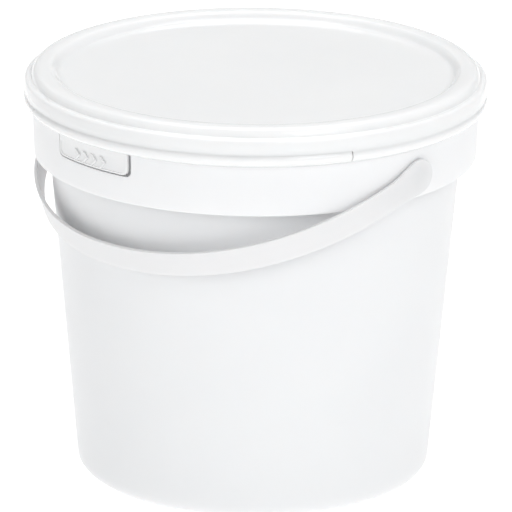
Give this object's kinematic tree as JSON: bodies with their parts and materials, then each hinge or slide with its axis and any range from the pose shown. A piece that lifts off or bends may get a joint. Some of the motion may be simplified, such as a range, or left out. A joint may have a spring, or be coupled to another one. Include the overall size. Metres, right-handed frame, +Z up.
{
  "type": "lidded plastic pail",
  "caption": "Round tapered white plastic pail with a deep collar, a push-on tamper-evident lid with a tear strip and pull tab, and a swinging strap handle.",
  "frame": {"origin": "on the floor under the middle of the base, where the pail's axis meets the plane of the foot ring", "axes": "+Z up along the pail's axis; X along the handle's pivot axis; -Y is the front, where the pull tab is and where the handle hangs"},
  "size_m": [0.288, 0.28, 0.2503],
  "materials": {
    "bucket_plastic": "injection-moulded white polypropylene, semi-gloss, faintly translucent",
    "lid_plastic": "injection-moulded white polypropylene, glossy rim and satin panel",
    "handle_plastic": "injection-moulded white polypropylene strap, semi-gloss"
  },
  "bodies": {
    "bucket": {"base": "bucket_plastic", "wall": "bucket_plastic", "rim": "bucket_plastic", "collar": "bucket_plastic", "collar_ledge": "bucket_plastic", "collar_ribs": "bucket_plastic"},
    "lid": {"lid_panel": "lid_plastic", "lid_crest": "lid_plastic", "lid_seal_ring": "lid_plastic", "lid_skirt": "lid_plastic"},
    "tear_strip": {"tear_strip": "lid_plastic"},
    "pull_tab": {"pull_tab": "lid_plastic"},
    "handle": {"strap": "handle_plastic", "handle_end_right": "handle_plastic", "handle_end_left": "handle_plastic"}
  },
  "joints": [
    {"name": "lid_lift", "type": "slide", "parent": "bucket", "child": "lid", "axis": [0, 0, 1], "range_m": [0, 0.06]},
    {"name": "strip_peel", "type": "hinge", "parent": "lid", "child": "tear_strip", "pos_m": [0.13005, -0.04992, 0.231], "axis": [0, 0, 1], "range_deg": [0, 40]},
    {"name": "tab_lift", "type": "hinge", "parent": "tear_strip", "child": "pull_tab", "pos_m": [0, -0.1346, 0.2279], "axis": [-1, 0, 0], "range_deg": [0, 70]},
    {"name": "handle_swing", "type": "hinge", "parent": "bucket", "child": "handle", "pos_m": [0, 0, 0.211], "axis": [-1, 0, 0], "range_deg": [0, 222]}
  ]
}
